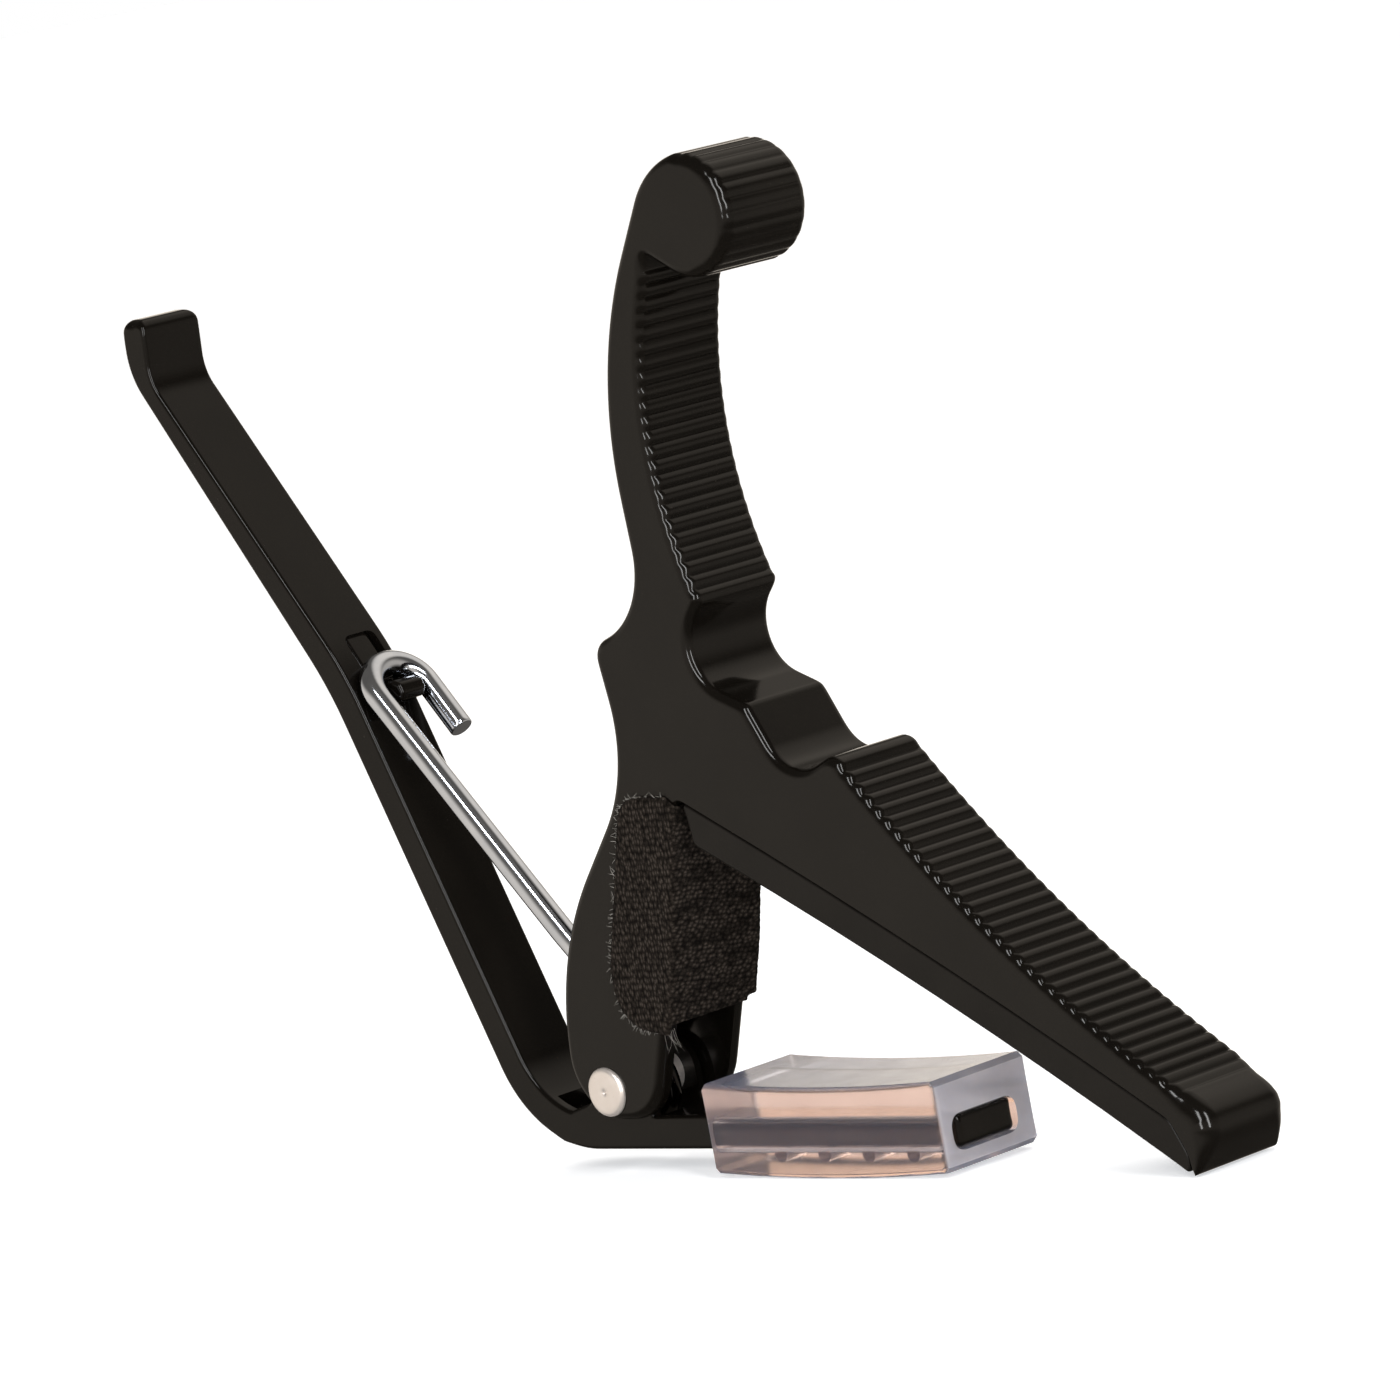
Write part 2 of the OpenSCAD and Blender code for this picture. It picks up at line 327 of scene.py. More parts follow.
def smooth(obj, crease=CREASE):
    """Smooth shading that keeps creases and flat faces true."""
    bm = bmesh.new()
    bm.from_mesh(obj.data)
    for face in bm.faces:
        face.smooth = True
    for edge in bm.edges:
        edge.smooth = not (len(edge.link_faces) == 2 and edge.calc_face_angle(0) > crease)
    bm.to_mesh(obj.data)
    bm.free()
    keep = obj.modifiers.new("flat faces stay flat", "WEIGHTED_NORMAL")
    keep.keep_sharp = True
    keep.weight = FLAT_WEIGHT


def finish_piece(obj, material, body, slot, *nodes):
    """Gives a piece its material and its body, and hides the CAD nodes it stands for. The slot is
    not used.
    """
    obj.data.materials.clear()
    obj.data.materials.append(material)
    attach(obj, body)
    if nodes:
        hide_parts(*nodes)


# ---------------------------------------------------------------- materials


class Nodes:
    """Small helper that strings the nodes of one tree together."""

    def __init__(self, tree):
        self.tree = tree

    def feed(self, socket, value):
        """Gives an input a constant, or links it to an output."""
        if isinstance(value, bpy.types.NodeSocket):
            self.tree.links.new(value, socket)
        else:
            socket.default_value = value

    def node(self, kind, **values):
        """A new node; each value sets the property or feeds the input of that name."""
        made = self.tree.nodes.new(kind)
        for key, value in values.items():
            if hasattr(made, key):
                setattr(made, key, value)
            else:
                self.feed(made.inputs[key.replace("_", " ")], value)
        return made

    def math(self, operation, a, b=0.0):
        made = self.node("ShaderNodeMath", operation=operation)
        self.feed(made.inputs[0], a)
        self.feed(made.inputs[1], b)
        return made.outputs["Value"]

    def measure(self, operation, a, b):
        """A dot product or a distance."""
        made = self.node("ShaderNodeVectorMath", operation=operation)
        self.feed(made.inputs[0], a)
        self.feed(made.inputs[1], b)
        return made.outputs["Value"]

    def ease(self, source, low, high, top=1.0):
        """Goes smoothly from 0 where the source is low to top where it is high."""
        made = self.node(
            "ShaderNodeMapRange", interpolation_type="SMOOTHSTEP",
            Value=source, From_Min=low, From_Max=high, To_Min=0.0, To_Max=top,
        )
        return made.outputs["Result"]

    def mix(self, factor, a, b, kind="RGBA"):
        made = self.node("ShaderNodeMix", data_type=kind, Factor=factor, A=a, B=b)
        return made.outputs["Result"]


class Shader(Nodes):
    """A material's nodes, laid out in object coordinates."""

    def __init__(self, name):
        self.material = bpy.data.materials.new(name)
        self.material.use_nodes = True
        super().__init__(self.material.node_tree)
        self.bsdf = self.tree.nodes["Principled BSDF"]
        self.place = self.node("ShaderNodeTexCoord").outputs["Object"]

    def stretched(self, sizes, slant=0.0):
        """Object coordinates in units of the given sizes, tilted about X."""
        made = self.node(
            "ShaderNodeMapping",
            Vector=self.place, Rotation=(slant, 0, 0), Scale=[1 / size for size in sizes],
        )
        return made.outputs["Vector"]

    def noise(self, size, detail=3.0, rough=0.5):
        """Cloudy variation; size is one length, or one for each axis."""
        sizes = size if isinstance(size, tuple) else (size, size, size)
        made = self.node(
            "ShaderNodeTexNoise",
            Vector=self.stretched(sizes), Scale=1.0, Detail=detail, Roughness=rough,
        )
        return made.outputs["Fac"]

    def ramp(self, source, stops):
        """A colour ramp; stops are (position, colour)."""
        made = self.node("ShaderNodeValToRGB", Fac=source)
        elements = made.color_ramp.elements
        while len(elements) < len(stops):
            elements.new(0.5)
        for element, (position, colour) in zip(elements, stops):
            element.position = position
            element.color = (*colour, 1)
        return made.outputs["Color"]

    def mask(self, source, low, high):
        """0 where the source is below low, 1 where it is above high."""
        return self.ramp(source, [(low, (0, 0, 0)), (high, (1, 1, 1))])

    def clouded(self, source, tones):
        """Drifts between two colours."""
        return self.ramp(source, [(0.3, tones[0]), (0.7, tones[1])])

    def facing(self, axis, low, high):
        """1 where the surface faces along that axis of the object, 0 where it doesn't."""
        normal = self.node("ShaderNodeTexCoord").outputs["Normal"]
        part = self.node("ShaderNodeSeparateXYZ", Vector=normal).outputs[axis]
        return self.mask(self.math("ABSOLUTE", part), low, high)

    def between(self, source, low, high):
        made = self.node("ShaderNodeMapRange", Value=source, To_Min=low, To_Max=high)
        return made.outputs["Result"]

    def bump(self, height, distance, strength=1.0, after=None):
        made = self.node("ShaderNodeBump", Strength=strength, Distance=distance, Height=height)
        if after:
            self.feed(made.inputs["Normal"], after)
        return made.outputs["Normal"]

    def set(self, **values):
        for key, value in values.items():
            self.feed(self.bsdf.inputs[key.replace("_", " ")], value)
        return self.material


ENAMEL_TONES = (0.0030, 0.0024, 0.0018), (0.0044, 0.0036, 0.0027)
ENAMEL_DUST = (0.022, 0.019, 0.016, 1)
RUBBER_TONES = (0.0040, 0.0034, 0.0028), (0.0062, 0.0052, 0.0043)
# Felt colour by pile height: the hollows between loops are painted dark as shade, and the loop
# tops are painted lighter.
PILE_HEIGHT_SHADE_STOPS = [
    (0.48, (0.0045, 0.0037, 0.0030)),
    (0.72, (0.0185, 0.0150, 0.0123)),
    (0.95, (0.056, 0.0455, 0.0375)),
]
INNER_LOOPS = (0.8 * MM, 0.56 * MM, 0.36 * MM)
INNER_SLANT = 0.30
SIDE_LOOPS = (0.30 * MM, 1.0 * MM, 0.55 * MM)
LINT = (0.11, 0.10, 0.09, 1)
FIBRE_TONES = (0.16, 0.15, 0.13), (0.42, 0.40, 0.37)
# Dark colour painted on the spring near the pivot, as shade inside the leg's channel.
PAINTED_COIL_SHADE = (0.03, 0.028, 0.026, 1)
COOL_STEEL = (0.74, 0.80, 0.90), (0.86, 0.91, 1.0)
WARM_STEEL = (0.90, 0.82, 0.76), (0.98, 0.91, 0.86)
# Painted light: peach for the sleeve's long sides, standing in for light passed through its
# length; haze for its ends and top.
PAINTED_SIDE_LIGHT_TONES = (0.67, 0.455, 0.36), (0.75, 0.53, 0.425)
PAINTED_END_AND_TOP_HAZE_TONES = (0.50, 0.47, 0.49), (0.59, 0.56, 0.58)
SILICONE_DUST = (0.46, 0.44, 0.48, 1)
BLUE_HAZE = (0.36, 0.55, 1.0, 1.0)


def black_paint(name, roughness, peel, shine):
    """Glossy black enamel with dust specks, uneven gloss and orange peel of that depth."""
    s = Shader(name)
    tint = s.clouded(s.noise(9 * MM, 4.0), ENAMEL_TONES)
    dust = s.mask(s.noise(0.35 * MM, 2.0), 0.745, 0.79)
    wave = s.noise(1.6 * MM, 2.0)
    grain = s.noise(0.22 * MM, 3.0)
    return s.set(
        Base_Color=s.mix(dust, tint, ENAMEL_DUST),
        Roughness=s.between(s.noise(3.5 * MM, 4.0), roughness - 0.03, roughness + 0.05),
        Specular_IOR_Level=shine,
        Normal=s.bump(grain, 0.001 * MM, 0.4, s.bump(wave, peel)),
    )


def pad_rubber():
    """Satin black rubber with faint lines along the arm."""
    s = Shader("satin_black_rubber")
    skin = s.noise(0.30 * MM, 4.0)
    lines = s.noise((14 * MM, 0.5 * MM, 0.5 * MM))
    return s.set(
        Base_Color=s.clouded(s.noise(6 * MM, 5.0), RUBBER_TONES),
        Roughness=s.between(lines, 0.24, 0.36),
        Specular_IOR_Level=0.24,
        Normal=s.bump(lines, 0.006 * MM, 0.5, s.bump(skin, 0.010 * MM)),
    )


def felt(name, pile):
    """Woven loop pile: fine rows on the two sides, coarser slanting loops between them."""
    s = Shader(name)

    def loops(sizes, slant):
        """Loops of that size, strayed a little from their rows; 1 at a loop's middle."""
        even = s.stretched(sizes, slant)
        stray = s.node("ShaderNodeTexNoise", Vector=even, Scale=0.9, Detail=3.0)
        strayed = s.mix(0.2, even, stray.outputs["Color"], "VECTOR")
        cells = s.node("ShaderNodeTexVoronoi", Vector=strayed, Scale=1.0, Randomness=0.6)
        return s.math("SUBTRACT", 1.0, cells.outputs["Distance"])

    sideways = s.facing("Y", 0.5, 0.85)
    inner, side = loops(INNER_LOOPS, INNER_SLANT), loops(SIDE_LOOPS, 0.0)
    weave = s.mix(sideways, inner, side, "FLOAT")
    fibres = s.noise(0.15 * MM, 4.0, 0.7)
    height = s.math("ADD", s.math("MULTIPLY", weave, 0.7), s.math("MULTIPLY", fibres, 0.6))
    lint = s.mask(s.noise(0.22 * MM, 1.0), 0.79, 0.84)
    return s.set(
        # The loop pattern is the weave; the dark hollows and the lighter loop tops are painted
        # shade and light.
        Base_Color=s.mix(lint, s.ramp(height, PILE_HEIGHT_SHADE_STOPS), LINT),
        Roughness=s.between(s.noise(0.9 * MM, 3.0), 0.85, 1.0),
        Specular_IOR_Level=0.0,
        Sheen_Weight=0.008,
        Sheen_Roughness=0.5,
        Normal=s.bump(height, pile),
    )


def frayed_fibre():
    s = Shader("pale_fibre")
    return s.set(
        Base_Color=s.clouded(s.noise(0.4 * MM, 2.0), FIBRE_TONES),
        Roughness=s.between(s.noise(0.2 * MM), 0.6, 0.9),
    )


def bright_steel(name, tones, roughness, brushed, shade_reach=0.0, metal=1.0):
    """Bright metal with faint lines of the brushed size. Within the shade reach of the pivot its
    colour is
    painted darker: painted shade where the coil sits inside the leg's channel."""
    s = Shader(name)
    tint = s.clouded(s.noise(2.5 * MM, 4.0), tones)
    scratches = s.noise(brushed)
    # Painted shade: the colour turns dark near the pivot, where the coil lies in the leg's
    # channel.
    if shade_reach:
        unshaded = s.ease(s.measure("DISTANCE", s.place, PIVOT), shade_reach, shade_reach * 1.5)
        tint = s.mix(unshaded, PAINTED_COIL_SHADE, tint)
    return s.set(
        Base_Color=tint,
        Metallic=metal,
        Roughness=s.between(scratches, roughness * 0.7, roughness * 1.5),
        Normal=s.bump(scratches, 0.002 * MM, 0.3),
    )


def silicone():
    """Milky silicone. Its colour is painted light chosen by facing: peach on its long sides for
    light passed through its length, blue-grey haze on its ends and top; its ends also let less
    light through.
    """
    s = Shader("milky_silicone")
    skin = s.noise(2.2 * MM, 3.0)
    clouds = s.noise(5 * MM, 3.0)
    # The colour is chosen by which way the face points: painted light, peach on the long sides and
    # blue-grey haze on the ends and top.
    body = s.mix(
        s.facing("Y", 0.55, 0.9), s.clouded(clouds, PAINTED_END_AND_TOP_HAZE_TONES), s.clouded(clouds, PAINTED_SIDE_LIGHT_TONES)
    )
    dots = s.mask(s.noise(0.30 * MM, 1.0), 0.78, 0.82)
    return s.set(
        Base_Color=s.mix(dots, body, SILICONE_DUST),
        Transmission_Weight=s.between(s.facing("X", 0.55, 0.9), 0.985, 0.52),
        Roughness=s.between(skin, 0.12, 0.26),
        IOR=1.41,
        Subsurface_Weight=1.0,
        Subsurface_Radius=(2.6 * MM, 3.0 * MM, 3.4 * MM),
        Subsurface_Scale=1.0,
        Sheen_Weight=0.10,
        Sheen_Roughness=0.75,
        Sheen_Tint=BLUE_HAZE,
        Normal=s.bump(skin, 0.02 * MM, 0.5),
    )


PAINT = black_paint("black_body_enamel", roughness=0.12, peel=0.005 * MM, shine=0.3)
LEVER_PAINT = black_paint("black_lever_enamel", roughness=0.09, peel=0.003 * MM, shine=0.23)
RUBBER = pad_rubber()
FELT = felt("black_woven_felt", pile=0.26 * MM)
FIBRE = frayed_fibre()
# The wire is painted darker within 8 to 12 mm of the pivot, as shade inside the leg's channel.
WIRE_STEEL = bright_steel(
    "bright_spring_wire", COOL_STEEL, roughness=0.10,
    brushed=(1.5 * MM, 0.12 * MM, 1.5 * MM), shade_reach=8 * MM,
)
PIN_STEEL = bright_steel(
    "satin_pin_steel", WARM_STEEL, roughness=0.30,
    brushed=(0.10 * MM, 1.0 * MM, 0.9 * MM), metal=0.75,
)
SILICONE = silicone()


# ---------------------------------------------------------------- cast body

CHEEK = 1.9 * MM
BODY_ROUND = 1.1 * MM
SCROLL_CENTRE = flat([at_pivot(36.84, 93.86)])[0]
SCROLL_REACH = 8 * MM
SCROLL_ROUND = 1.4 * MM
TOE_ROUND = 2.2 * MM
TOE_START = at_pivot(82.5, 0).x
TOE_RUN = 3 * MM
TOE_SPREAD = 1.7 * MM
JOINT_ROUND = 0.22 * MM
JOINT_GAP = 0.4 * MM
JOINT_REACH = 3 * MM
RIB_SPREAD = 0.55 * MM
BODY_STEP = 0.2 * MM
EDGE_STEP = 0.5 * MM
# Millimetres from the pivot.
CHANNEL = [
    (-12, -8), (10.5, -8), (13.2, 3.6), (12.2, 7.2), (9.6, 7.9), (11.6, 14.5),
    (14.3, 25), (13.5, 28.5), (9, 29.5), (3, 31.5), (-12, 31.5),
]

pad_loop = side_outline("neck_pad", -HALF_BODY)
body_loop = side_outline("body_casting", -HALF_BODY)
pad_edge = refined(pad_loop, EDGE_STEP)
body_edge = refined(body_loop, EDGE_STEP)


def gap_to(p, edge):
    """The distance from a point to the nearest point of an outline."""
    return min((p - q).length for q in edge)


def toe_share(p):
    """0 along the arm, 1 at its toe."""
    return min(1, max(0, (p.x - TOE_START) / TOE_RUN))


def clear_of_pad(p):
    """0 on the neck pad's edge, 1 well away from it."""
    return min(1, max(0, gap_to(p, pad_edge) - JOINT_GAP) / JOINT_REACH)


def body_rim(p):
    """Almost sharp along the neck pad; away from it, fuller at the scroll and the toe."""
    full = BODY_ROUND + (TOE_ROUND - BODY_ROUND) * toe_share(p)
    if (p - SCROLL_CENTRE).length < SCROLL_REACH and p.x > SCROLL_CENTRE.x:
        full = SCROLL_ROUND
    return JOINT_ROUND + (full - JOINT_ROUND) * clear_of_pad(p)


def blunt_toe(loop):
    """The body's outline with the toe's upper corner worn rounder."""
    loop = refined(loop, BODY_STEP)
    worn = softened(loop, TOE_SPREAD)
    return [p.lerp(q, toe_share(p) * clear_of_pad(p)) for p, q in zip(loop, worn)]


def channel(half_width):
    """The hollow of the leg. It runs past the casting's outline where the leg is open."""
    loop = flat([at_pivot(x, z) for x, z in CHANNEL])
    return plate("channel", loop, -half_width, half_width)


def make_casting():
    casting = rounded_plate(
        "cast_body", blunt_toe(body_loop), -HALF_BODY, HALF_BODY, body_rim,
        step=BODY_STEP, segments=8, spread=RIB_SPREAD,
    )
    combine(casting, channel(HALF_BODY - CHEEK), "DIFFERENCE")
    smooth(casting)
    finish_piece(casting, PAINT, "casting", "black_paint", "body_casting")


# ---------------------------------------------------------------- neck pad

PAD_ROUND = 0.55 * MM


def pad_rim(p):
    """Almost sharp where the pad meets the body."""
    return JOINT_ROUND if gap_to(p, body_edge) < JOINT_GAP else PAD_ROUND


def make_pad():
    pad = rounded_plate(
        "neck_pad_rubber", pad_loop, -HALF_BODY, HALF_BODY, pad_rim, step=0.6 * MM
    )
    smooth(pad)
    finish_piece(pad, RUBBER, "casting", "pad_rubber", "neck_pad")


# ---------------------------------------------------------------- felt

FELT_ROUND = 0.8 * MM
FELT_CREASE = math.radians(80)
FELT_VOXEL = 0.2 * MM
RUFFLE_SIZES = 0.45 * MM, 0.22 * MM
RUFFLE_MM = 0.06
# Millimetres from the pivot.
FELT_FOOT = [(8.5, 4), (14, 4), (14, 7.7), (8.5, 7.9)]
EDGE_FIBRES = 130
EDGE_FIBRE_RADIUS = 0.022 * MM
EDGE_CLEARANCE = 1.2 * MM
EDGE_INSET = 0.15 * MM
FOOT_FIBRES = 7
FOOT_FIBRE_RADIUS = 0.02 * MM
FOOT_INSET = 0.5 * MM
FIBRE_ROWS = 6
FIBRE_TAPER = 0.6
OFF_AXIS = Vector((0.3, 0.2, 0.93))
FUZZ = random.Random(11)


def make_felt():
    """The wrap, less the leg that it lies on; gives back its outline from the side."""
    loop = side_outline("leg_felt", -HALF_FELT)
    wrap = rounded_plate(
        "leg_felt_wrap", loop, -HALF_FELT, HALF_FELT, lambda p: FELT_ROUND, step=0.3 * MM
    )
    combine(wrap, plate("leg", body_loop, -HALF_BODY, HALF_BODY), "DIFFERENCE")
    combine(wrap, channel(HALF_BODY), "DIFFERENCE")
    foot = flat([at_pivot(x, z) for x, z in FELT_FOOT])
    far_foot = plate("far_foot", foot, HALF_BODY - 1 * MM, HALF_FELT + 1 * MM)
    combine(wrap, far_foot, "DIFFERENCE")
    fine = wrap.modifiers.new("fine", "REMESH")
    fine.mode = "VOXEL"
    fine.voxel_size = FELT_VOXEL
    settle(wrap)
    ruffle(wrap.data)
    smooth(wrap, FELT_CREASE)
    finish_piece(wrap, FELT, "casting", "felt", "leg_felt")
    return loop


def ruffle(mesh):
    """Pushes the pile in and out a little."""
    mesh.update()
    coarse, fine = RUFFLE_SIZES
    moves = []
    for v in mesh.vertices:
        push = noise.noise(v.co / coarse) + 0.6 * noise.noise(v.co / fine)
        moves.append(v.normal * push * RUFFLE_MM * MM)
    for v, move in zip(mesh.vertices, moves):
        v.co += move


def fibre(start, way, length, radius, bend):
    """One thin curved fibre as a three-sided tube."""
    rows, verts, faces = FIBRE_ROWS, [], []
    side = way.cross(OFF_AXIS).normalized()
    other = way.cross(side).normalized()
    for r in range(rows):
        t = r / (rows - 1)
        centre = start + way * length * t + (side * bend.x + other * bend.y) * length * t * t
        for k in range(3):
            a = 2 * math.pi * k / 3
            spoke = side * math.cos(a) + other * math.sin(a)
            verts.append(centre + spoke * radius * (1 - FIBRE_TAPER * t))
    for r in range(rows - 1):
        for k in range(3):
            j = (k + 1) % 3
            faces.append((r * 3 + k, r * 3 + j, (r + 1) * 3 + j, (r + 1) * 3 + k))
    faces += [(2, 1, 0), (rows * 3 - 3, rows * 3 - 2, rows * 3 - 1)]
    return verts, faces


def make_fray(loop):
    """Loose pale fibres along the felt's cut edges, and a few long ones at its foot."""
    verts, faces = [], []

    def add(start, way, length, radius):
        bend = Vector((FUZZ.uniform(-0.5, 0.5), FUZZ.uniform(-0.5, 0.5)))
        new_verts, new_faces = fibre(start, way.normalized(), length, radius, bend)
        faces.extend(tuple(i + len(verts) for i in f) for f in new_faces)
        verts.extend(new_verts)

    edge = refined(loop, EDGE_STEP)
    free = [i for i, p in enumerate(edge) if gap_to(p, body_edge) > EDGE_CLEARANCE]
    for side in (-1, 1):
        for _ in range(EDGE_FIBRES):
            i = FUZZ.choice(free)
            run = (edge[(i + 1) % len(edge)] - edge[i - 1]).normalized()
            outward = Vector((run.y, -run.x))
            y = side * (HALF_FELT - FUZZ.uniform(0.2, 0.6) * MM)
            lean = run * FUZZ.uniform(-1.2, 1.2) + outward * FUZZ.uniform(0.2, 1.0)
            way = Vector((lean.x, side * FUZZ.uniform(0.0, 0.8), lean.y))
            root = edge[i] - outward * EDGE_INSET
            length = FUZZ.uniform(0.3, 0.8) * MM
            add(Vector((root.x, y, root.y)), way, length, EDGE_FIBRE_RADIUS)
    foot = min(loop, key=lambda p: p.y)
    for _ in range(FOOT_FIBRES):
        x = foot.x + FUZZ.uniform(-1.2, 0.4) * MM
        y = -HALF_BODY + FUZZ.uniform(-0.3, 1.6) * MM
        root = Vector((x, y, foot.y)) + Vector((0, 0, FOOT_INSET))
        way = Vector((FUZZ.uniform(-0.2, 0.35), FUZZ.uniform(-0.2, 0.3), -1))
        add(root, way, FUZZ.uniform(1.2, 3.0) * MM, FOOT_FIBRE_RADIUS)
    fray = new_object("felt_fray", mesh_from("felt_fray", verts, faces))
    finish_piece(fray, FIBRE, "casting", "felt")


# ---------------------------------------------------------------- pivot pin

# (radius, height above the casting's side) in millimetres.
PIN_DOME = [(0.0, 0.34), (0.10, 0.36), (0.22, 0.47), (0.42, 0.57), (0.8, 0.60), (1.9, 0.585)]
PIN_RIM = [(2.3, 0.55), (2.5, 0.49), (2.65, 0.38), (2.73, 0.24), (2.75, 0.12), (2.75, 0.0)]
PIN_SHANK = 2.4
AXIS_WELD = 0.001 * MM


def turned(name, profile, steps=72):
    """A body of revolution round the pivot axis; profile is (radius, y) in millimetres."""
    verts, faces = [], []
    rows = len(profile)
    for i in range(steps):
        a = 2 * math.pi * i / steps
        for r, y in profile:
            verts.append(at_pivot(r * math.cos(a), r * math.sin(a), y))
    for i in range(steps):
        j = (i + 1) % steps
        for k in range(rows - 1):
            faces.append((i * rows + k, i * rows + k + 1, j * rows + k + 1, j * rows + k))
    return new_object(name, face_outwards(mesh_from(name, verts, faces), AXIS_WELD))


def make_pin():
    """A shank with two riveted heads, each with a rolled rim and a small punched dimple."""
    face = HALF_BODY / MM
    near = [(r, -face - y) for r, y in PIN_DOME + PIN_RIM]
    far = [(r, face + y) for r, y in (PIN_DOME + PIN_RIM)[::-1]]
    pin = turned("rivet_pin", near + [(PIN_SHANK, -face), (PIN_SHANK, face)] + far)
    smooth(pin, ROUND_CREASE)
    finish_piece(pin, PIN_STEEL, "casting", "steel", "pivot_pin")


# ---------------------------------------------------------------- lever

LEVER_ROUND = 0.5 * MM
TIP_ROUND = 2.0 * MM
TIP_REACH = 0.8 * MM
BAR_END_ROUND = 1.0 * MM
BAR_END_REACH = 8 * MM
BAR_PROUD = 0.8 * MM
BAR_PROUD_REACH = 2 * MM
TONGUE_SLOPE = math.radians(57.5)
TONGUE_ROUND = 0.6 * MM
EAR_GAP = 3.1 * MM
# From here on, millimetres: the tongue's and the window's places are for along_handle(),
# the others are measured from the pivot.
TONGUE_ROOT = (-34.7, 51.73)
TONGUE = [
    (-0.9, -3.0), (-0.9, -0.95), (6.2, -0.85), (8.0, 2.0), (8.9, 2.75), (10.0, 2.5),
    (10.5, 1.6), (10.0, 0.2), (8.4, -1.2), (6.9, -3.0),
]
TONGUE_GAP = 0.35
WINDOW_LENGTH = 8.8
WINDOW_SIDES = (-1.4, 3.1)
WINDOW_ROUND = 1.1
WINDOW_DEPTHS = (-6.0, 2.0)
COIL_WINDOW = 5.3
EAR_SPAN = (-12, 9)
ABOVE_EARS = 8
BELOW_BAR = 1


def along_handle(s, h):
    """A point s down the handle from the tongue's root and h towards the body, both in
    millimetres."""
    c, d = math.cos(TONGUE_SLOPE), math.sin(TONGUE_SLOPE)
    return at_pivot(TONGUE_ROOT[0] + s * c + h * d, TONGUE_ROOT[1] - s * d + h * c)


def upright_box(name, x0, x1, z0, z1, half_width):
    """A cutting box; its sides are in millimetres from the pivot."""
    corners = [at_pivot(x0, z0), at_pivot(x1, z0), at_pivot(x1, z1), at_pivot(x0, z1)]
    return plate(name, flat(corners), -half_width, half_width)


def window_cutter():
    """A round-cornered punch square to the handle's face."""
    low, high = WINDOW_SIDES
    square = [(0, low), (WINDOW_LENGTH, low), (WINDOW_LENGTH, high), (0, high)]
    corners = rounded_polygon([Vector(p) for p in square], WINDOW_ROUND)
    rings = []
    for h in WINDOW_DEPTHS:
        places = [(along_handle(p.x, h), p.y * MM) for p in corners]
        rings.append([(place.x, y, place.z) for place, y in places])
    return prism("punch", *rings)


def lever_rim(p):
    """The handle's tip and the bar's free end have rounder corners."""
    if p.x > LEVER_HIGH.x - BAR_END_REACH:
        return BAR_END_ROUND
    return TIP_ROUND if p.y > LEVER_HIGH.z - TIP_REACH else LEVER_ROUND


def lever_outline():
    """The CAD lever's outline, with the bar's free end a little longer."""
    bar_end = LEVER_HIGH.x - BAR_PROUD_REACH
    loop = side_outline("lever", -LEVER_HIGH.y)
    return [p + Vector((BAR_PROUD if p.x > bar_end else 0, 0)) for p in loop]


def make_lever():
    lever = rounded_plate(
        "bent_lever", lever_outline(), -LEVER_HIGH.y, LEVER_HIGH.y, lever_rim, step=0.5 * MM
    )
    top = (BAR_TOP - PIVOT.z) / MM
    under = (BAR_BOTTOM - PIVOT.z) / MM - BELOW_BAR
    ear_gap = upright_box("ear_gap", *EAR_SPAN, top, ABOVE_EARS, EAR_GAP)
    combine(lever, ear_gap, "DIFFERENCE")
    window = upright_box("coil_window", -COIL_WINDOW, COIL_WINDOW, under, ABOVE_EARS, EAR_GAP)
    combine(lever, window, "DIFFERENCE")
    combine(lever, window_cutter(), "DIFFERENCE")
    strip = rounded_polygon(flat([along_handle(s, h) for s, h in TONGUE]), TONGUE_ROUND)
    y0, y1 = (WINDOW_SIDES[0] + TONGUE_GAP) * MM, (WINDOW_SIDES[1] - TONGUE_GAP) * MM
    tongue = rounded_plate("tongue", strip, y0, y1, lambda p: TONGUE_ROUND, step=0.3 * MM)
    combine(lever, tongue, "UNION")
    smooth(lever)
    finish_piece(lever, LEVER_PAINT, "jaw_lever", "black_paint", "lever")


# ---------------------------------------------------------------- spring

# Millimetres and degrees, from the pivot.
WIRE_RADIUS = 1.4
WIRE_STEP = 0.6
COIL_RADIUS = 4.0
COIL_POINTS = 40
SHORT_LEG_ANGLE = 140
LONG_LEG_ANGLE = 32.3
SHORT_LEG = 17.8
LEG_Y = 1.45
LEAVE_LEAD, LEAVE_TURN, LEAVE_SHIFT = 5, 90.5, 0.15
EXIT = Vector((-4.9, 15.35))
EXIT_Y = -2.55
EXIT_LEAD = 3
HOOK_Y = -3.1
HOOK_RADIUS = 3.8
HOOK_POINTS = 24
HOOK_CENTRE = Vector((-29.05, 44.8))
HOOK_SLOPE = 127
HOOK_END, HOOK_END_TURN = 7.0, -179
WIRE_ENDS = [(0.86, 0.0), (0.96, 0.10), (1.0, 0.28)]


def polar(r, degrees):
    a = math.radians(degrees)
    return Vector((r * math.cos(a), r * math.sin(a)))


def spaced(p, y):
    """An (x, z) point at that Y."""
    return Vector((p.x, y, p.y))


